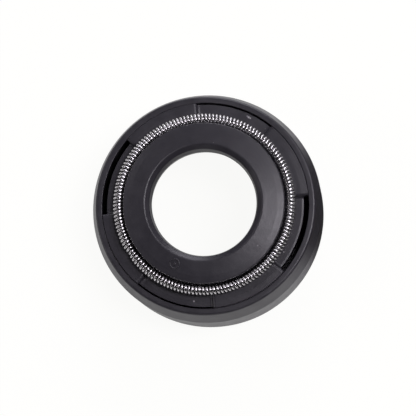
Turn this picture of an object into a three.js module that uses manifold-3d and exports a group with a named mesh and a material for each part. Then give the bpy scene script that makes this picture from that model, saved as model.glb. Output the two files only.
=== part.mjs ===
// Valve stem seal: a black rubber ring moulded round a steel insert, with a steel
// garter spring that presses its lip on the stem. Millimetres, +Z up.
// The origin is the middle of the back face, which is the face that it stands on.

import * as THREE from 'three';
import * as BufferGeometryUtils from 'three/addons/utils/BufferGeometryUtils.js';
import Module from 'manifold-3d';

const wasm = await Module();
wasm.setup();

// Driving dimensions

// Fit on the engine
const stemDiameter = 10;
const lipInterference = 0.5;
const outerDiameter = 20;
const guideSeatDiameter = 12.4;
const guideSeatDepth = 3.0;
const guideSeatChamfer = 0.3;

// Outer rim, measured from the back face up
const rimHeight = 7.0;
const rimWidth = 0.52;
const rimOuterRound = 0.28;
const leadInLength = 2.0;
const leadInTaper = 0.52;
const leadInRound = 0.5;
const backChamfer = 0.3;
const creaseDepth = 0.1;
const creaseWidth = 0.07;

// Shelf that the spring lies on, measured from the rim face up
const shelfRise = 0.2;
const shelfEdgeRise = 0.04;
const shelfShoulderWidth = 0.55;
const shelfShoulderRound = 0.22;

// Head that carries the sealing lip, with a bead that keeps the spring in its groove.
// Its crown is convex and rises from the head's shoulder to the edge of the lip's cone.
const headDiameter = 13.72;
const headFootRound = 0.25;
const beadReach = 0.05;
const beadRise = 1.36;
const beadRound = 0.06;
const headShoulderInset = 0.1;
const headShoulderRise = 1.5;
const headShoulderRound = 0.12;
const crownBreakWidth = 1.3;
const crownBreakRise = 1.69;
const crownBreakRound = 2.0;
const crownEdgeWidth = 0.55;
const crownEdgeRise = 1.9;
const crownEdgeRound = 0.25;
const lipBreakWidth = 0.14;
const lipBreakRise = 1.6;
const lipBreakRound = 0.15;
const lipEdgeRise = 0.85;
const throatWidening = 0.14;
const throatRise = -0.3;
const neckWidening = 0.87;

// Pockets between the shelf and the rim
const pocketCount = 4;
const pocketAngle = 45;
const firstPocketAngle = -17.5;
const pocketStepDepth = 0.27;
const wideSlotWidth = 0.45;
const narrowSlotWidth = 0.16;
const pocketSlotDepth = 0.75;
const pocketChamberWidth = 1.4;
const pocketChamberDepth = 3.4;
const insertBareDepth = 0.1;

// Steel insert that the rubber is moulded on
const insertThickness = 0.5;
const insertWallCover = 0.12;
const insertTopCover = 1.4;
const insertBackCover = 0.7;
const insertFlangeWidth = 2.6;
const insertBendRadius = 0.25;
const insertClearance = 0.05;

// Garter spring
const springTurns = 153;
const springCoilDiameter = 1.0;
const springWireDiameter = 0.21;
const springClearance = 0.04;
const springJointAngle = 213.5;
const springJointTurns = 1.1;
const springJointNeck = 0.3;

// Raised ring on the crown
const markAngle = 245.4;
const markRadialPlace = 5.78;
const markDiameter = 0.95;
const markLineWidth = 0.14;
const markPipDiameter = 0.26;
const markHeight = 0.06;
const markRootDepth = 0.12;

// Fineness of the faceted surfaces
const ringSegments = 72;
const arcSegments = 2;
const markSegments = 20;
const springStepsPerTurn = 6;
const springWireSides = 4;

// Sizes worked out from the driving dimensions
const outerRadius = outerDiameter / 2;
const lipRadius = stemDiameter / 2 - lipInterference;
const headRadius = headDiameter / 2;
const guideSeatRadius = guideSeatDiameter / 2;
const rimOuterRadius = outerRadius - leadInTaper;
const rimInnerRadius = rimOuterRadius - rimWidth;
const shelfHeight = rimHeight + shelfRise;
const headShoulderRadius = headRadius - headShoulderInset;
const crownEdgeRadius = lipRadius + crownEdgeWidth;
const crownEdgeHeight = rimHeight + crownEdgeRise;
const crownBreakRadius = crownEdgeRadius + crownBreakWidth;
const crownSlope = Math.atan2(crownEdgeRise - crownBreakRise, crownBreakWidth);
const insertInnerRadius = rimInnerRadius + insertWallCover + insertClearance;
const insertOuterRadius = insertInnerRadius + insertThickness;
const springRingRadius = headRadius + springClearance + springCoilDiameter / 2;
const springRingHeight = shelfHeight + springClearance + springCoilDiameter / 2;
const cutMargin = 0.5;

const radians = (degrees) => THREE.MathUtils.degToRad(degrees);

// An outline through corners [x, y, round], each corner with a round replaced by an arc
function roundedOutline(corners) {
  const points = [];
  corners.forEach(([x, y, round = 0], index) => {
    const corner = new THREE.Vector2(x, y);
    if (round === 0) {
      points.push(corner);
      return;
    }
    const [previousX, previousY] = corners.at(index - 1);
    const [nextX, nextY] = corners[(index + 1) % corners.length];
    const back = new THREE.Vector2(previousX, previousY).sub(corner).normalize();
    const ahead = new THREE.Vector2(nextX, nextY).sub(corner).normalize();
    const halfAngle = Math.acos(back.dot(ahead)) / 2;
    const centre = back.clone().add(ahead).setLength(round / Math.sin(halfAngle)).add(corner);
    const start = back.multiplyScalar(round / Math.tan(halfAngle)).add(corner).sub(centre);
    const end = ahead.multiplyScalar(round / Math.tan(halfAngle)).add(corner).sub(centre);
    const sweep = Math.atan2(start.cross(end), start.dot(end));
    for (let step = 0; step <= arcSegments; step++) {
      const turned = start.clone().rotateAround(new THREE.Vector2(), (sweep * step) / arcSegments);
      points.push(turned.add(centre));
    }
  });
  return points;
}

// A ring or a disc round the Z axis, from an outline of (radius, height) points
function revolved(outline, segments) {
  const closed = [...outline, outline[0]];
  return new THREE.LatheGeometry(closed, segments).rotateX(Math.PI / 2);
}

// A sector of a ring: radii in millimetres, angles in degrees, heights from bottom to top
function ringSector(innerRadius, sectorOuterRadius, middleAngle, spread, bottom, top) {
  const start = radians(middleAngle - spread / 2);
  const end = radians(middleAngle + spread / 2);
  const shape = new THREE.Shape();
  shape.absarc(0, 0, sectorOuterRadius, start, end, false);
  shape.absarc(0, 0, innerRadius, end, start, true);
  const curveSegments = Math.round((ringSegments * spread) / 360);
  const settings = { depth: top - bottom, bevelEnabled: false, curveSegments };
  return new THREE.ExtrudeGeometry(shape, settings).translate(0, 0, bottom);
}

function toSolid(geometry) {
  const bare = geometry.clone();
  bare.deleteAttribute('normal');
  bare.deleteAttribute('uv');
  const merged = BufferGeometryUtils.mergeVertices(bare, 1e-5);
  const vertProperties = new Float32Array(merged.attributes.position.array);
  const triVerts = new Uint32Array(merged.index.array);
  const mesh = new wasm.Mesh({ numProp: 3, vertProperties, triVerts });
  return new wasm.Manifold(mesh);
}

function toGeometry(solid) {
  const mesh = solid.getMesh();
  const geometry = new THREE.BufferGeometry();
  geometry.setAttribute('position', new THREE.BufferAttribute(mesh.vertProperties, 3));
  geometry.setIndex(new THREE.BufferAttribute(mesh.triVerts, 1));
  geometry.computeVertexNormals();
  return geometry;
}

function sealSection() {
  const shelfOuterRadius = rimInnerRadius - creaseWidth;
  return roundedOutline([
    [guideSeatRadius + guideSeatChamfer, 0],
    [outerRadius - backChamfer, 0],
    [outerRadius, backChamfer],
    [outerRadius, rimHeight - leadInLength, leadInRound],
    [rimOuterRadius, rimHeight, rimOuterRound],
    [rimInnerRadius, rimHeight],
    [shelfOuterRadius, rimHeight - creaseDepth],
    [shelfOuterRadius, rimHeight + shelfEdgeRise],
    [shelfOuterRadius - shelfShoulderWidth, shelfHeight, shelfShoulderRound],
    [headRadius, shelfHeight, headFootRound],
    [headRadius, springRingHeight],
    [headRadius + beadReach, rimHeight + beadRise, beadRound],
    [headShoulderRadius, rimHeight + headShoulderRise, headShoulderRound],
    [crownBreakRadius, rimHeight + crownBreakRise, crownBreakRound],
    [crownEdgeRadius, crownEdgeHeight, crownEdgeRound],
    [lipRadius + lipBreakWidth, rimHeight + lipBreakRise, lipBreakRound],
    [lipRadius, rimHeight + lipEdgeRise],
    [lipRadius + throatWidening, rimHeight + throatRise],
    [lipRadius + neckWidening, guideSeatDepth],
    [guideSeatRadius, guideSeatDepth],
    [guideSeatRadius, guideSeatChamfer],
  ]);
}

// The insert's L section, grown on every side by an allowance
function insertSection(allowance) {
  const inner = insertInnerRadius - allowance;
  const outer = insertOuterRadius + allowance;
  const top = rimHeight - insertTopCover + allowance;
  const bottom = insertBackCover - allowance;
  const flangeTop = insertBackCover + insertThickness + allowance;
  const flangeEdge = insertOuterRadius - insertFlangeWidth - allowance;
  const innerBend = insertBendRadius - allowance;
  const outerBend = insertBendRadius + insertThickness + allowance;
  return roundedOutline([
    [flangeEdge, bottom],
    [outer, bottom, outerBend],
    [outer, top],
    [inner, top],
    [inner, flangeTop, innerBend],
    [flangeEdge, flangeTop],
  ]);
}

// One pocket: the shelf lowered outside the spring's middle line, the slot beside the rim,
// and under it the wide chamber, which lays the insert's wall bare
function pocketCuts(middleAngle, slotWidth) {
  const slotInnerRadius = rimInnerRadius - slotWidth;
  const slotBottom = rimHeight - pocketSlotDepth;
  const chamberOuterRadius = insertInnerRadius - insertClearance + insertBareDepth;
  const chamberInnerRadius = chamberOuterRadius - pocketChamberWidth;
  const chamberBottom = rimHeight - pocketChamberDepth;
  const insideChamber = (chamberBottom + slotBottom) / 2;
  const above = crownEdgeHeight + cutMargin;
  const parts = [
    [springRingRadius, rimInnerRadius, shelfHeight - pocketStepDepth, above],
    [slotInnerRadius, rimInnerRadius, insideChamber, above],
    [chamberInnerRadius, chamberOuterRadius, chamberBottom, slotBottom],
  ];
  return parts.map(([inner, outer, bottom, top]) =>
    toSolid(ringSector(inner, outer, middleAngle, pocketAngle, bottom, top)));
}

// A plain raised ring with a pip in its middle, square to the sloping crown
function crownMark() {
  const outer = markDiameter / 2;
  const inner = outer - markLineWidth;
  const pip = markPipDiameter / 2;
  const edge = markHeight / 2;
  const ring = roundedOutline([
    [inner, -markRootDepth],
    [outer, -markRootDepth],
    [outer, edge],
    [outer - edge, markHeight],
    [inner + edge, markHeight],
    [inner, edge],
  ]);
  const dot = [
    new THREE.Vector2(0, -markRootDepth),
    new THREE.Vector2(pip, -markRootDepth),
    new THREE.Vector2(pip, edge),
    new THREE.Vector2(pip - edge, markHeight),
    new THREE.Vector2(0, markHeight),
  ];
  const place = new THREE.Matrix4()
    .makeRotationZ(radians(markAngle))
    .multiply(new THREE.Matrix4().makeTranslation(markRadialPlace, 0, crownHeightAt(markRadialPlace)))
    .multiply(new THREE.Matrix4().makeRotationY(crownSlope));
  return [ring, dot].map((outline) => toSolid(revolved(outline, markSegments).applyMatrix4(place)));
}

function crownHeightAt(radius) {
  return crownEdgeHeight - (radius - crownEdgeRadius) * Math.tan(crownSlope);
}

function sealBodyGeometry() {
  let solid = toSolid(revolved(sealSection(), ringSegments));
  for (const piece of crownMark()) {
    solid = solid.add(piece);
  }
  solid = solid.subtract(toSolid(revolved(insertSection(insertClearance), ringSegments)));
  for (let pocket = 0; pocket < pocketCount; pocket++) {
    const middleAngle = firstPocketAngle + (pocket * 360) / pocketCount;
    const slotWidth = pocket % 2 === 0 ? wideSlotWidth : narrowSlotWidth;
    for (const cut of pocketCuts(middleAngle, slotWidth)) {
      solid = solid.subtract(cut);
    }
  }
  return toGeometry(solid);
}

// The middle line of the spring's wire, a coil bent into a ring. At the joint, where one
// end is screwed into the other, the coil draws in to a neck.
class GarterSpringCurve extends THREE.Curve {
  coilRadius = (springCoilDiameter - springWireDiameter) / 2;

  directions(t) {
    const around = 2 * Math.PI * t;
    const coil = -springTurns * around;
    const outward = new THREE.Vector3(Math.cos(around), Math.sin(around), 0);
    const lift = new THREE.Vector3(0, 0, Math.sin(coil));
    return { outward, fromCoilMiddle: outward.clone().multiplyScalar(Math.cos(coil)).add(lift) };
  }

  neck(t) {
    const turnsAway = (t - springJointAngle / 360) * springTurns;
    return 1 - springJointNeck * Math.exp(-((turnsAway / springJointTurns) ** 2));
  }

  getPoint(t) {
    const { outward, fromCoilMiddle } = this.directions(t);
    const point = outward.multiplyScalar(springRingRadius);
    point.z = springRingHeight;
    return point.addScaledVector(fromCoilMiddle, this.coilRadius * this.neck(t));
  }

  getPointAt(u) {
    return this.getPoint(u);
  }

  // The wire's section always faces the middle of its coil, so every turn is alike
  computeFrenetFrames(segments) {
    const frames = { tangents: [], normals: [], binormals: [] };
    const step = 1e-5;
    for (let index = 0; index <= segments; index++) {
      const t = index / segments;
      const tangent = this.getPoint(t + step).sub(this.getPoint(t - step)).normalize();
      const binormal = tangent.clone().cross(this.directions(t).fromCoilMiddle).normalize();
      frames.tangents.push(tangent);
      frames.binormals.push(binormal);
      frames.normals.push(binormal.clone().cross(tangent));
    }
    return frames;
  }
}

function springGeometry() {
  const steps = springTurns * springStepsPerTurn;
  const wireRadius = springWireDiameter / 2;
  return new THREE.TubeGeometry(new GarterSpringCurve(), steps, wireRadius, springWireSides, true);
}

function namedMesh(name, geometry, material) {
  const mesh = new THREE.Mesh(geometry, material);
  mesh.name = name;
  return mesh;
}

const rubber = new THREE.MeshStandardMaterial({ color: 0x232325, roughness: 0.5, metalness: 0 });
const springSteel = new THREE.MeshStandardMaterial({ color: 0xc9c9cc, roughness: 0.22, metalness: 1 });
const coatedSteel = new THREE.MeshStandardMaterial({ color: 0x3a3a3c, roughness: 0.55, metalness: 1 });

const group = new THREE.Group();
group.add(namedMesh('seal_body', sealBodyGeometry(), rubber));
group.add(namedMesh('steel_insert', revolved(insertSection(0), ringSegments), coatedSteel));
group.add(namedMesh('garter_spring', springGeometry(), springSteel));

export default group;
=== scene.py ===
import math
import bmesh
import bpy
from mathutils import Matrix, Vector


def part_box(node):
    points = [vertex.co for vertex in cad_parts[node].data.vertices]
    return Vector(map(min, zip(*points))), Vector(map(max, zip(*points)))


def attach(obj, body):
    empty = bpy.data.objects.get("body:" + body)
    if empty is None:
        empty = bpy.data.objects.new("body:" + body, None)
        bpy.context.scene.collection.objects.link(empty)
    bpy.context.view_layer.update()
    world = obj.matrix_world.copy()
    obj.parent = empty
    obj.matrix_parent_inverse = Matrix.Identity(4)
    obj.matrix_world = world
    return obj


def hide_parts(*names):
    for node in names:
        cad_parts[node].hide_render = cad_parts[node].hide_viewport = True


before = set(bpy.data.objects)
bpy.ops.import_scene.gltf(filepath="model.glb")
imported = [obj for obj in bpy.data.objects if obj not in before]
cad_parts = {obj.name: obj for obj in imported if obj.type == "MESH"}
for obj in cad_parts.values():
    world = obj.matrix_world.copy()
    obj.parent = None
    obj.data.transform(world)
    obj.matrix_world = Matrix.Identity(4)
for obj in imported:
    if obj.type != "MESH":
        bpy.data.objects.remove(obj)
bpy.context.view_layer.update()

scene = bpy.context.scene
MM = 0.001

# Sizes of the seal, in millimetres
OUTER_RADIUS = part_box("seal_body")[1].x / MM
LIP_RADIUS = 4.5
GUIDE_SEAT_RADIUS = 6.2
GUIDE_SEAT_DEPTH = 3.0
GUIDE_SEAT_CHAMFER = 0.3
RIM_HEIGHT = 7.0
RIM_WIDTH = 0.52
RIM_ROUND = 0.22
LEAD_IN_LENGTH = 2.0
LEAD_IN_TAPER = 0.52
LEAD_IN_ROUND = 0.5
BACK_CHAMFER = 0.3
SMALL_ROUND = 0.05
ROUND_MARGIN = 0.12
CREASE_DEPTH = 0.1
CREASE_WIDTH = 0.07
CREASE_POINT_GAP = 0.004
SHELF_RISE = 0.2
SHELF_EDGE_RISE = 0.17
SHELF_SHOULDER_WIDTH = 0.55
SHELF_SHOULDER_ROUND = 0.22
HEAD_RADIUS = 6.86
HEAD_FOOT_ROUND = 0.25
BEAD_REACH = 0.1
BEAD_RISE = 1.36
BEAD_ROUND = 0.06
HEAD_SHOULDER_INSET = -0.03
HEAD_SHOULDER_RISE = 1.57
HEAD_SHOULDER_ROUND = 0.08
CROWN_BREAK_WIDTH = 1.3
CROWN_BREAK_RISE = 1.69
CROWN_BREAK_ROUND = 3.0
CROWN_EDGE_WIDTH = 0.55
CROWN_EDGE_RISE = 1.9
CROWN_EDGE_ROUND = 0.25
LIP_BREAK_WIDTH = 0.14
LIP_BREAK_RISE = 1.6
LIP_BREAK_ROUND = 0.15
LIP_EDGE_RISE = 0.85
THROAT_WIDENING = 0.14
THROAT_RISE = -0.3
NECK_WIDENING = 0.87

POCKET_COUNT = 4
POCKET_ANGLE = 45
FIRST_POCKET_ANGLE = -17.5
POCKET_STEP_DEPTH = 0.27
WIDE_SLOT_WIDTH = 0.45
NARROW_SLOT_WIDTH = 0.16
POCKET_SLOT_DEPTH = 0.75
POCKET_CHAMBER_DEPTH = 3.4
POCKET_CHAMBER_INNER = 7.78
POCKET_CHAMBER_OUTER = 9.18
POCKET_EDGE_BAND = 3.5
POCKET_EDGE_CROWDING = 4.0
POCKET_EDGE_SPREAD = 0.5

SPRING_TURNS = 153
SPRING_COIL_DIAMETER = 1.0
SPRING_WIRE_DIAMETER = 0.235
SPRING_CLEARANCE = 0.04
SPRING_JOINT_ANGLE = 213.5
SPRING_JOINT_TURNS = 1.1
SPRING_JOINT_NECK = 0.3
SPRING_STEPS_PER_TURN = 24
SPRING_BEVEL_STEPS = 3

MARK_ANGLE = 245.4
MARK_PLACE = 5.78
MARK_DIAMETER = 0.95
MARK_LINE_WIDTH = 0.14
MARK_PIP_DIAMETER = 0.26
MARK_HEIGHT = 0.07
MARK_ROOT = 0.08
MARK_SOFTNESS = 0.9

# Flecks of lint and dust: angle, radius, rise above the rim face, size and strength
FLECKS = (
    (62.9, 8.50, -0.12, 0.13, 1.0),
    (64.0, 8.52, -0.12, 0.15, 1.0),
    (65.0, 8.56, -0.12, 0.11, 0.9),
    (263.8, 8.34, -0.08, 0.12, 0.8),
    (-31.0, 7.92, -0.07, 0.11, 0.8),
    (-28.5, 8.30, -0.07, 0.06, 0.5),
    (212.6, 8.97, 0.0, 0.08, 0.5),
    (80.5, 5.20, 1.87, 0.06, 0.5),
    (321.3, 5.98, 1.75, 0.12, 0.25),
    (52.0, 8.40, -0.08, 0.07, 0.5),
)
FLECK_RAGGEDNESS = 0.05
FLECK_CORE = 0.5
FLECK_EDGE_SCALE = 14000.0
FLECK_COLOUR = (0.42, 0.40, 0.42, 1)

# The rubber: noise scales per metre, bump depths in metres, and shares of the roughness
RUBBER_DARK = (0.016, 0.015, 0.02, 1)
RUBBER_LIGHT = (0.042, 0.0395, 0.047, 1)
RUBBER_IOR = 1.5
RUBBER_ROUGHNESS = 0.22
CLOUD_SCALE = 260.0
CLOUD_ROUGHNESS = 0.08
SMEAR_SCALE = 900.0
SMEAR_ROUGHNESS = 0.16
SMEAR_DEPTH = 0.00003
SMEAR_STRENGTH = 0.6
RING_SCALE = 5200.0
RING_ROUGHNESS = 0.08
RING_DEPTH = 0.000005
RING_STRENGTH = 0.5
GRAIN_SCALE = 9000.0
GRAIN_DEPTH = 0.000004
GRAIN_STRENGTH = 0.5
FLECK_ROUGHNESS = 0.4

# The spring's wire and the insert's coat
WIRE_DARK = (0.58, 0.565, 0.57, 1)
WIRE_LIGHT = (0.74, 0.73, 0.745, 1)
WIRE_CLOUD_SCALE = 700.0
WIRE_GRAIN_SCALE = 16000.0
WIRE_ROUGHNESS = 0.15
WIRE_GRAIN_ROUGHNESS = 0.1
WIRE_GRAIN_DEPTH = 0.000002
WIRE_GRAIN_STRENGTH = 0.4
COAT_DARK = (0.035, 0.035, 0.038, 1)
COAT_LIGHT = (0.075, 0.075, 0.078, 1)
COAT_CLOUD_SCALE = 900.0
COAT_METALLIC = 0.6
COAT_ROUGHNESS = 0.45
COAT_CLOUD_ROUGHNESS = 0.2

# The table, the painted glow that shows only in its reflections, and the side at the right where
# a painted dark reflection shows
TABLE_SIZE = 1500
TABLE_GAP = 0.02
TABLE_COLOUR = (0.86, 0.86, 0.85, 1)
TABLE_ROUGHNESS = 0.8
TABLE_GLOW_COLOUR = (1, 1, 0.985, 1)
TABLE_GLOW = 1.04
TABLE_WHITENESS = 0.9
TABLE_PAINTED_GLINT = 0.5
PAINTED_GLINT_FADE = (0.6, 0.93)
PAINTED_DARK_SIDE = (0.995, 0.1, 0)
PAINTED_DARK_FADE = (0.75, 0.97)
PAINTED_DARK_COLOUR = (0.06, 0.06, 0.05, 1)

# The room's light: how high its bright sides reach, their level and the level overhead
ROOM_SIDE_RISE = 0.35
ROOM_SIDES = 0.14
ROOM_OVERHEAD = 0.02

# Square soft boxes: name, azimuth, tilt from the zenith, size, power and colour
LAMP_DISTANCE = 0.6
LAMPS = (
    ("right_box", 5, 20, 0.16, 0.95, (1, 0.955, 1.03)),
    ("right_high", 8, 34, 0.18, 0.8, (1, 0.955, 1.03)),
    ("right_fill", 50, 40, 0.2, 0.3, (1, 0.97, 1.05)),
    ("window", 82, 67, 0.3, 1.35, (1, 0.98, 1.07)),
    ("left_box", 146, 47, 0.18, 0.24, (1, 0.96, 1)),
    ("left_fill", 190, 56, 0.18, 0.34, (1, 0.96, 1)),
    ("front_fill", 262, 82, 0.3, 0.35, (1, 0.97, 1)),
)

# Fineness of the meshes, and how near points have to be to be merged
RING_STEPS = 360
ARC_STEPS = 6
MARK_STEPS = 48
MERGE_DISTANCE = 1e-5

# The photograph's camera, fitted to the rim, the spring and the bore
CAMERA_TILT = 9.32
CAMERA_AZIMUTH = -57.6
CAMERA_DISTANCE = 173.2
PICTURE_PIXELS = 416
PIXELS_PER_MM = 11.62
RIM_CENTRE_PIXEL = (204.96, 205.08)
SENSOR_WIDTH = 36
CAMERA_CLIP = (0.01, 10)

# Sockets of the Mix node, which has several of one name
MIX_FACTOR = 0
MIX_FLOATS = (2, 3)
MIX_COLOURS = (6, 7)
MIX_COLOUR_RESULT = 2

SHELF_HEIGHT = RIM_HEIGHT + SHELF_RISE
HEAD_SHOULDER_RADIUS = HEAD_RADIUS - HEAD_SHOULDER_INSET
CROWN_EDGE_RADIUS = LIP_RADIUS + CROWN_EDGE_WIDTH
CROWN_BREAK_RADIUS = CROWN_EDGE_RADIUS + CROWN_BREAK_WIDTH
CROWN_SLOPE = math.atan2(CROWN_EDGE_RISE - CROWN_BREAK_RISE, CROWN_BREAK_WIDTH)
SPRING_RING_RADIUS = HEAD_RADIUS + SPRING_CLEARANCE + SPRING_COIL_DIAMETER / 2
SPRING_RING_HEIGHT = SHELF_HEIGHT + SPRING_CLEARANCE + SPRING_COIL_DIAMETER / 2


def place_camera():
    """A level camera at the photograph's angle, shifted sideways to the photograph's frame."""
    tilt = math.radians(CAMERA_TILT)
    azimuth = math.radians(CAMERA_AZIMUTH)
    towards = Vector((
        math.sin(tilt) * math.cos(azimuth),
        math.sin(tilt) * math.sin(azimuth),
        math.cos(tilt)))
    turn = Vector((0, 0, 1)).rotation_difference(towards)
    middle = PICTURE_PIXELS / 2
    across = Vector((middle - RIM_CENTRE_PIXEL[0], RIM_CENTRE_PIXEL[1] - middle, 0))
    offset = across / PIXELS_PER_MM
    place = Vector((0, 0, RIM_HEIGHT)) + towards * CAMERA_DISTANCE + turn @ offset
    data = bpy.data.cameras.new("camera")
    data.sensor_width = SENSOR_WIDTH
    data.lens = SENSOR_WIDTH * CAMERA_DISTANCE * PIXELS_PER_MM / PICTURE_PIXELS
    data.clip_start, data.clip_end = CAMERA_CLIP
    camera = bpy.data.objects.new("camera", data)
    camera.rotation_mode = "QUATERNION"
    camera.rotation_quaternion = turn
    camera.location = place * MM
    scene.collection.objects.link(camera)
    scene.camera = camera


# Shader maths

class Wire:
    """A value in a node tree, which Python's operators extend with Math nodes."""

    def __init__(self, shop, socket):
        self.shop = shop
        self.socket = socket

    def __add__(self, other):
        return self.shop.maths("ADD", self, other)

    def __radd__(self, other):
        return self.shop.maths("ADD", other, self)

    def __sub__(self, other):
        return self.shop.maths("SUBTRACT", self, other)

    def __rsub__(self, other):
        return self.shop.maths("SUBTRACT", other, self)

    def __mul__(self, other):
        return self.shop.maths("MULTIPLY", self, other)

    def __rmul__(self, other):
        return self.shop.maths("MULTIPLY", other, self)

    def __truediv__(self, other):
        return self.shop.maths("DIVIDE", self, other)

    def __pow__(self, other):
        return self.shop.maths("POWER", self, other)


class Workshop:
    """The node tree of one material or of the world, and the way to add to it."""

    def __init__(self, tree):
        self.tree = tree
        self.tree.nodes.clear()

    def node(self, kind, settings=None, inputs=None, output=0):
        made = self.tree.nodes.new(kind)
        for name, value in (settings or {}).items():
            setattr(made, name, value)
        for name, value in (inputs or {}).items():
            if isinstance(value, Wire):
                self.tree.links.new(value.socket, made.inputs[name])
            else:
                made.inputs[name].default_value = value
        return Wire(self, made.outputs[output]) if len(made.outputs) else made

    def maths(self, operation, first, second):
        return self.node("ShaderNodeMath", {"operation": operation}, {0: first, 1: second})

    def vector_maths(self, operation, first, second=None, output=0):
        inputs = {0: first} if second is None else {0: first, 1: second}
        return self.node("ShaderNodeVectorMath", {"operation": operation}, inputs, output)

    def mix_colours(self, factor, first, second):
        inputs = {MIX_FACTOR: factor, MIX_COLOURS[0]: first, MIX_COLOURS[1]: second}
        return self.node("ShaderNodeMix", {"data_type": "RGBA"}, inputs, MIX_COLOUR_RESULT)

    def mix_shaders(self, factor, first, second):
        return self.node("ShaderNodeMixShader", None, {0: factor, 1: first, 2: second})

    def fade(self, value, low, high, at_low=0.0, at_high=1.0):
        """at_low where value is under low, at_high where it is over high, smooth between."""
        return self.node(
            "ShaderNodeMapRange", {"interpolation_type": "SMOOTHSTEP"},
            {0: value, 1: low, 2: high, 3: at_low, 4: at_high})

    def noise(self, place, scale, detail=2.0, roughness=0.5):
        return self.node(
            "ShaderNodeTexNoise", {"noise_dimensions": "3D"},
            {"Vector": place, "Scale": scale, "Detail": detail, "Roughness": roughness})

    def noise_along(self, value, scale, detail=2.0):
        return self.node(
            "ShaderNodeTexNoise", {"noise_dimensions": "1D"},
            {"W": value, "Scale": scale, "Detail": detail})

    def bump(self, height, distance, strength, under=None):
        inputs = {"Height": height, "Distance": distance, "Strength": strength}
        if under is not None:
            inputs["Normal"] = under
        return self.node("ShaderNodeBump", None, inputs)


def new_material(name):
    material = bpy.data.materials.new(name)
    material.use_nodes = True
    return material, Workshop(material.node_tree)


def fleck_mask(shop, place):
    """1 on the flecks of lint and dust that lie on the rubber, 0 elsewhere."""
    ragged = shop.noise(place, FLECK_EDGE_SCALE) * (FLECK_RAGGEDNESS * MM)
    mask = 0.0
    for angle, radius, rise, size, strength in FLECKS:
        turned = math.radians(angle)
        middle = Vector((radius * math.cos(turned), radius * math.sin(turned), RIM_HEIGHT + rise))
        away = shop.vector_maths("DISTANCE", place, middle * MM, output="Value")
        spot = shop.fade(away + ragged, size * FLECK_CORE * MM, size * MM, strength, 0.0)
        mask = shop.maths("MAXIMUM", mask, spot)
    return mask


def rubber_material():
    """Black moulded nitrile rubber: satin, with fine grain, mould-turning rings and some dust."""
    material, shop = new_material("moulded_rubber")
    place = shop.node("ShaderNodeTexCoord", output="Object")
    flat = shop.vector_maths("MULTIPLY", place, (1, 1, 0))
    radius = shop.vector_maths("LENGTH", flat, output="Value")
    clouds = shop.noise(place, CLOUD_SCALE, detail=3.0)
    grain = shop.noise(place, GRAIN_SCALE)
    rings = shop.noise_along(radius, RING_SCALE, detail=3.0)
    smears = shop.noise(place, SMEAR_SCALE, detail=3.0, roughness=0.6)
    flecks = fleck_mask(shop, place)
    mottle = (clouds + smears) * 0.5
    tone = shop.mix_colours(mottle, RUBBER_DARK, RUBBER_LIGHT)
    colour = shop.mix_colours(flecks, tone, FLECK_COLOUR)
    roughness = (
        RUBBER_ROUGHNESS + clouds * CLOUD_ROUGHNESS + smears * SMEAR_ROUGHNESS
        + rings * RING_ROUGHNESS + flecks * FLECK_ROUGHNESS)
    smear_bump = shop.bump(smears, SMEAR_DEPTH, SMEAR_STRENGTH)
    ring_bump = shop.bump(rings, RING_DEPTH, RING_STRENGTH, under=smear_bump)
    normal = shop.bump(grain, GRAIN_DEPTH, GRAIN_STRENGTH, under=ring_bump)
    surface = shop.node("ShaderNodeBsdfPrincipled", None, {
        "Base Color": colour, "Roughness": roughness, "Normal": normal, "IOR": RUBBER_IOR})
    shop.node("ShaderNodeOutputMaterial", None, {"Surface": surface})
    return material


def spring_material():
    """Bright drawn spring steel, with faint draw lines and a trace of oil in the tone."""
    material, shop = new_material("spring_wire")
    place = shop.node("ShaderNodeTexCoord", output="Object")
    clouds = shop.noise(place, WIRE_CLOUD_SCALE)
    grain = shop.noise(place, WIRE_GRAIN_SCALE)
    colour = shop.mix_colours(clouds, WIRE_DARK, WIRE_LIGHT)
    roughness = WIRE_ROUGHNESS + grain * WIRE_GRAIN_ROUGHNESS
    normal = shop.bump(grain, WIRE_GRAIN_DEPTH, WIRE_GRAIN_STRENGTH)
    surface = shop.node("ShaderNodeBsdfPrincipled", None, {
        "Base Color": colour, "Metallic": 1.0, "Roughness": roughness, "Normal": normal})
    shop.node("ShaderNodeOutputMaterial", None, {"Surface": surface})
    return material


def insert_material():
    """Pressed steel under a dark bonding coat."""
    material, shop = new_material("coated_insert")
    place = shop.node("ShaderNodeTexCoord", output="Object")
    clouds = shop.noise(place, COAT_CLOUD_SCALE, detail=3.0)
    colour = shop.mix_colours(clouds, COAT_DARK, COAT_LIGHT)
    roughness = COAT_ROUGHNESS + clouds * COAT_CLOUD_ROUGHNESS
    surface = shop.node("ShaderNodeBsdfPrincipled", None, {
        "Base Color": colour, "Metallic": COAT_METALLIC, "Roughness": roughness})
    shop.node("ShaderNodeOutputMaterial", None, {"Surface": surface})
    return material


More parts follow.
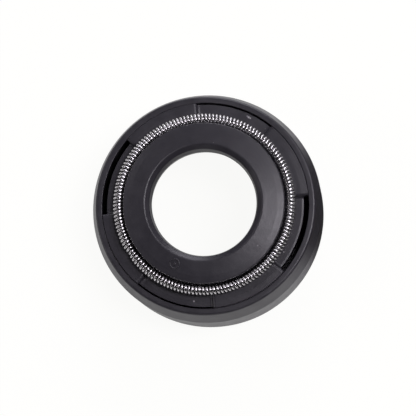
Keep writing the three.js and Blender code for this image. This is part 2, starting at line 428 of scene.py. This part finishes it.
def floor_material():
    """A pale matt table, which glows white to the camera. Seen in reflections it has a painted
    glow, and at the right a painted dark patch, which the wall of the seal shows as a painted
    dark reflection. It is clear from beneath, so that the back face shows."""
    material, shop = new_material("pale_table")
    camera_ray = shop.node("ShaderNodeLightPath", output="Is Camera Ray")
    glossy_ray = shop.node("ShaderNodeLightPath", output="Is Glossy Ray")
    beneath = shop.node("ShaderNodeNewGeometry", output="Backfacing")
    place = shop.node("ShaderNodeTexCoord", output="Object")
    direction = shop.vector_maths("NORMALIZE", place)
    rightward = shop.vector_maths("DOT_PRODUCT", direction, PAINTED_DARK_SIDE, output="Value")
    # Painted reflection: for glossy rays only, the table glows away from the right and is painted
    # dark at the right
    painted_glint = glossy_ray * shop.fade(rightward, *PAINTED_GLINT_FADE, TABLE_PAINTED_GLINT, 0.0)
    painted_dark_share = glossy_ray * shop.fade(rightward, *PAINTED_DARK_FADE)
    tone = shop.mix_colours(painted_dark_share, TABLE_COLOUR, PAINTED_DARK_COLOUR)
    board = shop.node("ShaderNodeBsdfPrincipled", None, {
        "Base Color": tone, "Roughness": TABLE_ROUGHNESS, "Specular IOR Level": 0.0})
    glow = shop.node(
        "ShaderNodeEmission", None, {"Color": TABLE_GLOW_COLOUR, "Strength": TABLE_GLOW})
    clear = shop.node("ShaderNodeBsdfTransparent")
    lit = shop.mix_shaders(camera_ray * TABLE_WHITENESS + painted_glint, board, glow)
    surface = shop.mix_shaders(beneath, lit, clear)
    shop.node("ShaderNodeOutputMaterial", None, {"Surface": surface})
    return material


# Mesh making

def rounded_outline(corners):
    """Points (radius, height, *moves) through corners (radius, height, round, *moves). Each
    round is an arc, with a point just before it and just after it, so that shading stays flat
    between rounds."""
    points = []
    count = len(corners)
    for index, (x, y, size, *moves) in enumerate(corners):
        corner = Vector((x, y))
        if size == 0:
            points.append((x, y, *moves))
            continue
        back = (Vector(corners[index - 1][:2]) - corner).normalized()
        ahead = (Vector(corners[(index + 1) % count][:2]) - corner).normalized()
        half = back.angle(ahead) / 2
        reach = size / math.tan(half)
        centre = corner + (back + ahead).normalized() * (size / math.sin(half))
        start = corner + back * reach - centre
        end = corner + ahead * reach - centre
        sweep = math.atan2(start.x * end.y - start.y * end.x, start.dot(end))
        margin = size * ROUND_MARGIN
        along = [corner + back * (reach + margin)]
        for step in range(ARC_STEPS + 1):
            along.append(centre + Matrix.Rotation(sweep * step / ARC_STEPS, 2) @ start)
        along.append(corner + ahead * (reach + margin))
        points += [(point.x, point.y, *moves) for point in along]
    return points


def seal_section():
    """The section at a rib. Each corner ends with how far it moves where there is a pocket:
    outward, upward, and outward again where that pocket has the wide slot."""
    rim_outer = OUTER_RADIUS - LEAD_IN_TAPER
    rim_inner = rim_outer - RIM_WIDTH
    crease = rim_inner - CREASE_WIDTH
    crease_height = RIM_HEIGHT - CREASE_DEPTH
    slot_inner = rim_inner - NARROW_SLOT_WIDTH
    slot_bottom = RIM_HEIGHT - POCKET_SLOT_DEPTH
    chamber_bottom = RIM_HEIGHT - POCKET_CHAMBER_DEPTH
    shelf_edge = RIM_HEIGHT + SHELF_EDGE_RISE
    shoulder = crease - SHELF_SHOULDER_WIDTH
    wider = NARROW_SLOT_WIDTH - WIDE_SLOT_WIDTH
    chamber = [
        (rim_inner, slot_bottom, 0),
        (POCKET_CHAMBER_OUTER, slot_bottom, 0),
        (POCKET_CHAMBER_OUTER, chamber_bottom, 0),
        (POCKET_CHAMBER_INNER, chamber_bottom, 0),
        (POCKET_CHAMBER_INNER, slot_bottom, 0),
        (slot_inner, slot_bottom, wider),
    ]
    corners = [
        (GUIDE_SEAT_RADIUS + GUIDE_SEAT_CHAMFER, 0, SMALL_ROUND, 0, 0, 0),
        (OUTER_RADIUS - BACK_CHAMFER, 0, SMALL_ROUND * 2, 0, 0, 0),
        (OUTER_RADIUS, BACK_CHAMFER, SMALL_ROUND * 2, 0, 0, 0),
        (OUTER_RADIUS, RIM_HEIGHT - LEAD_IN_LENGTH, LEAD_IN_ROUND, 0, 0, 0),
        (rim_outer, RIM_HEIGHT, RIM_ROUND, 0, 0, 0),
        (rim_inner, RIM_HEIGHT, SMALL_ROUND, 0, 0, 0),
    ]
    for index, (radius, height, extra) in enumerate(chamber):
        x = crease + CREASE_POINT_GAP * (len(chamber) - index)
        corners.append((x, crease_height, 0, radius - x, height - crease_height, extra))
    corners += [
        (crease, shelf_edge, SMALL_ROUND / 2, slot_inner - crease, -POCKET_STEP_DEPTH, wider),
        (shoulder, SHELF_HEIGHT, SHELF_SHOULDER_ROUND, 0, -POCKET_STEP_DEPTH, 0),
        (SPRING_RING_RADIUS + SMALL_ROUND * 2, SHELF_HEIGHT, 0, 0, -POCKET_STEP_DEPTH, 0),
        (SPRING_RING_RADIUS + SMALL_ROUND, SHELF_HEIGHT, 0, 0, -POCKET_STEP_DEPTH, 0),
        (SPRING_RING_RADIUS, SHELF_HEIGHT, 0, 0, 0, 0),
        (HEAD_RADIUS, SHELF_HEIGHT, HEAD_FOOT_ROUND, 0, 0, 0),
        (HEAD_RADIUS, SPRING_RING_HEIGHT, 0, 0, 0, 0),
        (HEAD_RADIUS + BEAD_REACH, RIM_HEIGHT + BEAD_RISE, BEAD_ROUND, 0, 0, 0),
        (HEAD_SHOULDER_RADIUS, RIM_HEIGHT + HEAD_SHOULDER_RISE, HEAD_SHOULDER_ROUND, 0, 0, 0),
        (CROWN_BREAK_RADIUS, RIM_HEIGHT + CROWN_BREAK_RISE, CROWN_BREAK_ROUND, 0, 0, 0),
        (CROWN_EDGE_RADIUS, RIM_HEIGHT + CROWN_EDGE_RISE, CROWN_EDGE_ROUND, 0, 0, 0),
        (LIP_RADIUS + LIP_BREAK_WIDTH, RIM_HEIGHT + LIP_BREAK_RISE, LIP_BREAK_ROUND, 0, 0, 0),
        (LIP_RADIUS, RIM_HEIGHT + LIP_EDGE_RISE, SMALL_ROUND, 0, 0, 0),
        (LIP_RADIUS + THROAT_WIDENING, RIM_HEIGHT + THROAT_RISE, SMALL_ROUND * 4, 0, 0, 0),
        (LIP_RADIUS + NECK_WIDENING, GUIDE_SEAT_DEPTH, SMALL_ROUND, 0, 0, 0),
        (GUIDE_SEAT_RADIUS, GUIDE_SEAT_DEPTH, SMALL_ROUND * 2, 0, 0, 0),
        (GUIDE_SEAT_RADIUS, GUIDE_SEAT_CHAMFER, SMALL_ROUND, 0, 0, 0),
    ]
    return rounded_outline(corners)


def outline_edges(bm, outline):
    """The verts and edges of a closed outline of (radius, height, ...) in the XZ plane."""
    verts = [bm.verts.new((point[0], 0, point[1])) for point in outline]
    edges = [bm.edges.new(pair) for pair in zip(verts, verts[1:] + verts[:1])]
    return verts, edges


def spin_round(bm, verts, edges, steps):
    """A closed ring, spun from an outline round the Z axis."""
    bmesh.ops.spin(
        bm, geom=verts + edges, cent=(0, 0, 0), axis=(0, 0, 1), angle=math.tau,
        steps=steps, use_merge=True)


def pocket_share(angle):
    """For an angle round the seal: 1 inside a pocket, 0 on a rib and between them across an
    edge; the angle that a point moves to, so that points crowd towards the edges; and whether
    the nearest pocket has the wide slot."""
    pitch = 360 / POCKET_COUNT
    turned = angle - FIRST_POCKET_ANGLE + pitch / 2
    wide = math.floor(turned / pitch) % 2 == 0
    away = turned % pitch - pitch / 2
    past = abs(away) - POCKET_ANGLE / 2
    if abs(past) >= POCKET_EDGE_BAND:
        return (0.0 if past > 0 else 1.0), angle, wide
    share = abs(past) / POCKET_EDGE_BAND
    crowded = math.copysign(POCKET_EDGE_BAND * share ** POCKET_EDGE_CROWDING, past)
    moved = angle + math.copysign(1, away) * (crowded - past)
    ramp = min(1.0, max(0.0, 0.5 - crowded / POCKET_EDGE_SPREAD))
    smooth_ramp = ramp * ramp * (3 - 2 * ramp)
    return smooth_ramp, moved, wide


def build_seal_body():
    """The turned section, whose pocket points are then moved into the pockets."""
    bm = bmesh.new()
    drop_radius = bm.verts.layers.float.new("drop_radius")
    drop_height = bm.verts.layers.float.new("drop_height")
    wide_radius = bm.verts.layers.float.new("wide_radius")
    outline = seal_section()
    verts, edges = outline_edges(bm, outline)
    for vert, (_, _, outward, upward, extra) in zip(verts, outline):
        vert[drop_radius] = outward
        vert[drop_height] = upward
        vert[wide_radius] = extra
    spin_round(bm, verts, edges, RING_STEPS)
    for vert in bm.verts:
        radius = math.hypot(vert.co.x, vert.co.y)
        share, angle, wide = pocket_share(math.degrees(math.atan2(vert.co.y, vert.co.x)))
        radius += share * (vert[drop_radius] + wide * vert[wide_radius])
        turned = math.radians(angle)
        vert.co.x = radius * math.cos(turned)
        vert.co.y = radius * math.sin(turned)
        vert.co.z += share * vert[drop_height]
    bmesh.ops.remove_doubles(bm, verts=bm.verts, dist=MERGE_DISTANCE)
    add_crown_mark(bm)
    return finish_mesh(bm, "rubber_seal_body", rubber)


def add_crown_mark(bm):
    """A plain raised ring with a pip in its middle, square to the sloping crown."""
    rise = CROWN_EDGE_RISE - (MARK_PLACE - CROWN_EDGE_RADIUS) * math.tan(CROWN_SLOPE)
    place = (
        Matrix.Rotation(math.radians(MARK_ANGLE), 4, "Z")
        @ Matrix.Translation((MARK_PLACE, 0, RIM_HEIGHT + rise))
        @ Matrix.Rotation(CROWN_SLOPE, 4, "Y"))
    outer = MARK_DIAMETER / 2
    inner = outer - MARK_LINE_WIDTH
    soft = MARK_HEIGHT * MARK_SOFTNESS
    pip = MARK_PIP_DIAMETER / 2
    ring = rounded_outline([
        (inner, -MARK_ROOT, 0),
        (outer, -MARK_ROOT, 0),
        (outer, MARK_HEIGHT, soft),
        (inner, MARK_HEIGHT, soft),
    ])
    verts, edges = outline_edges(bm, ring)
    spin_round(bm, verts, edges, MARK_STEPS)
    bmesh.ops.transform(bm, matrix=place, verts=joined_verts(verts[0]))
    bmesh.ops.create_uvsphere(
        bm, u_segments=MARK_STEPS // 2, v_segments=MARK_STEPS // 4, radius=pip,
        matrix=place @ Matrix.Diagonal((1, 1, MARK_HEIGHT / pip, 1)))


def joined_verts(vert):
    """This vert and all those that edges join to it."""
    seen = {vert}
    queue = [vert]
    while queue:
        for edge in queue.pop().link_edges:
            for other in edge.verts:
                if other not in seen:
                    seen.add(other)
                    queue.append(other)
    return list(seen)


def finish_mesh(bm, name, material):
    """An object in metres, at the origin, from a bmesh in millimetres."""
    bmesh.ops.recalc_face_normals(bm, faces=bm.faces)
    bmesh.ops.scale(bm, vec=(MM, MM, MM), verts=bm.verts)
    for face in bm.faces:
        face.smooth = True
    mesh = bpy.data.meshes.new(name)
    bm.to_mesh(mesh)
    bm.free()
    mesh.materials.append(material)
    made = bpy.data.objects.new(name, mesh)
    scene.collection.objects.link(made)
    return made


def spring_point(t):
    """A point of the wire's middle line, with t from 0 to 1 round the seal."""
    around = math.tau * t
    coil = -SPRING_TURNS * around
    turns_away = (t - SPRING_JOINT_ANGLE / 360) * SPRING_TURNS
    neck = 1 - SPRING_JOINT_NECK * math.exp(-(turns_away / SPRING_JOINT_TURNS) ** 2)
    coil_radius = (SPRING_COIL_DIAMETER - SPRING_WIRE_DIAMETER) / 2 * neck
    radius = SPRING_RING_RADIUS + coil_radius * math.cos(coil)
    height = SPRING_RING_HEIGHT + coil_radius * math.sin(coil)
    return Vector((radius * math.cos(around), radius * math.sin(around), height)) * MM


def build_spring():
    """One closed coil, swept along the wire's middle line."""
    data = bpy.data.curves.new("garter_spring_wire", "CURVE")
    data.dimensions = "3D"
    data.bevel_depth = SPRING_WIRE_DIAMETER / 2 * MM
    data.bevel_resolution = SPRING_BEVEL_STEPS
    count = SPRING_TURNS * SPRING_STEPS_PER_TURN
    spline = data.splines.new("POLY")
    spline.points.add(count - 1)
    for index, point in enumerate(spline.points):
        point.co = (*spring_point(index / count), 1)
    spline.use_cyclic_u = True
    curve = bpy.data.objects.new("spring_curve", data)
    scene.collection.objects.link(curve)
    bpy.context.view_layer.update()
    evaluated = curve.evaluated_get(bpy.context.evaluated_depsgraph_get())
    mesh = bpy.data.meshes.new_from_object(evaluated)
    bpy.data.objects.remove(curve)
    mesh.name = "garter_spring_coil"
    mesh.materials.clear()
    mesh.materials.append(spring_steel)
    for polygon in mesh.polygons:
        polygon.use_smooth = True
    made = bpy.data.objects.new("garter_spring_coil", mesh)
    scene.collection.objects.link(made)
    return made


# Studio

def build_floor():
    """A flat table just under the seal, facing up."""
    bm = bmesh.new()
    bmesh.ops.create_grid(
        bm, x_segments=1, y_segments=1, size=TABLE_SIZE,
        matrix=Matrix.Translation((0, 0, -TABLE_GAP)))
    made = finish_mesh(bm, "table", floor_material())
    if made.data.polygons[0].normal.z < 0:
        made.data.flip_normals()
    return made


def area_lamp(name, azimuth, tilt, size, power, colour):
    """A square soft box aimed at the seal, placed by its azimuth and its tilt from the zenith."""
    data = bpy.data.lights.new(name, "AREA")
    data.size = size
    data.energy = power
    data.color = colour
    lamp = bpy.data.objects.new(name, data)
    lamp.matrix_world = (
        Matrix.Rotation(math.radians(azimuth), 4, "Z")
        @ Matrix.Rotation(math.radians(tilt), 4, "Y")
        @ Matrix.Translation((0, 0, LAMP_DISTANCE)))
    scene.collection.objects.link(lamp)


def build_world():
    """A room that is dim overhead and bright at its sides; the camera sees white."""
    world = bpy.data.worlds.new("studio")
    scene.world = world
    world.use_nodes = True
    shop = Workshop(world.node_tree)
    camera_ray = shop.node("ShaderNodeLightPath", output="Is Camera Ray")
    direction = shop.node("ShaderNodeTexCoord", output="Generated")
    upward = shop.node("ShaderNodeSeparateXYZ", None, {0: direction}, output="Z")
    room = shop.fade(upward, 0.0, ROOM_SIDE_RISE, ROOM_SIDES, ROOM_OVERHEAD)
    strength = shop.node(
        "ShaderNodeMix", {"data_type": "FLOAT"},
        {MIX_FACTOR: camera_ray, MIX_FLOATS[0]: room, MIX_FLOATS[1]: 1.0})
    light = shop.node("ShaderNodeBackground", None, {"Color": (1, 1, 1, 1), "Strength": strength})
    shop.node("ShaderNodeOutputWorld", None, {"Surface": light})


scene.view_settings.view_transform = "Standard"
place_camera()
rubber = rubber_material()
spring_steel = spring_material()

seal_body = build_seal_body()
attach(seal_body, "root")
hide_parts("seal_body")

garter_spring = build_spring()
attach(garter_spring, "root")
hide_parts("garter_spring")

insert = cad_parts["steel_insert"]
insert.data.materials.clear()
insert.data.materials.append(insert_material())

table = build_floor()
build_world()
for lamp in LAMPS:
    area_lamp(*lamp)
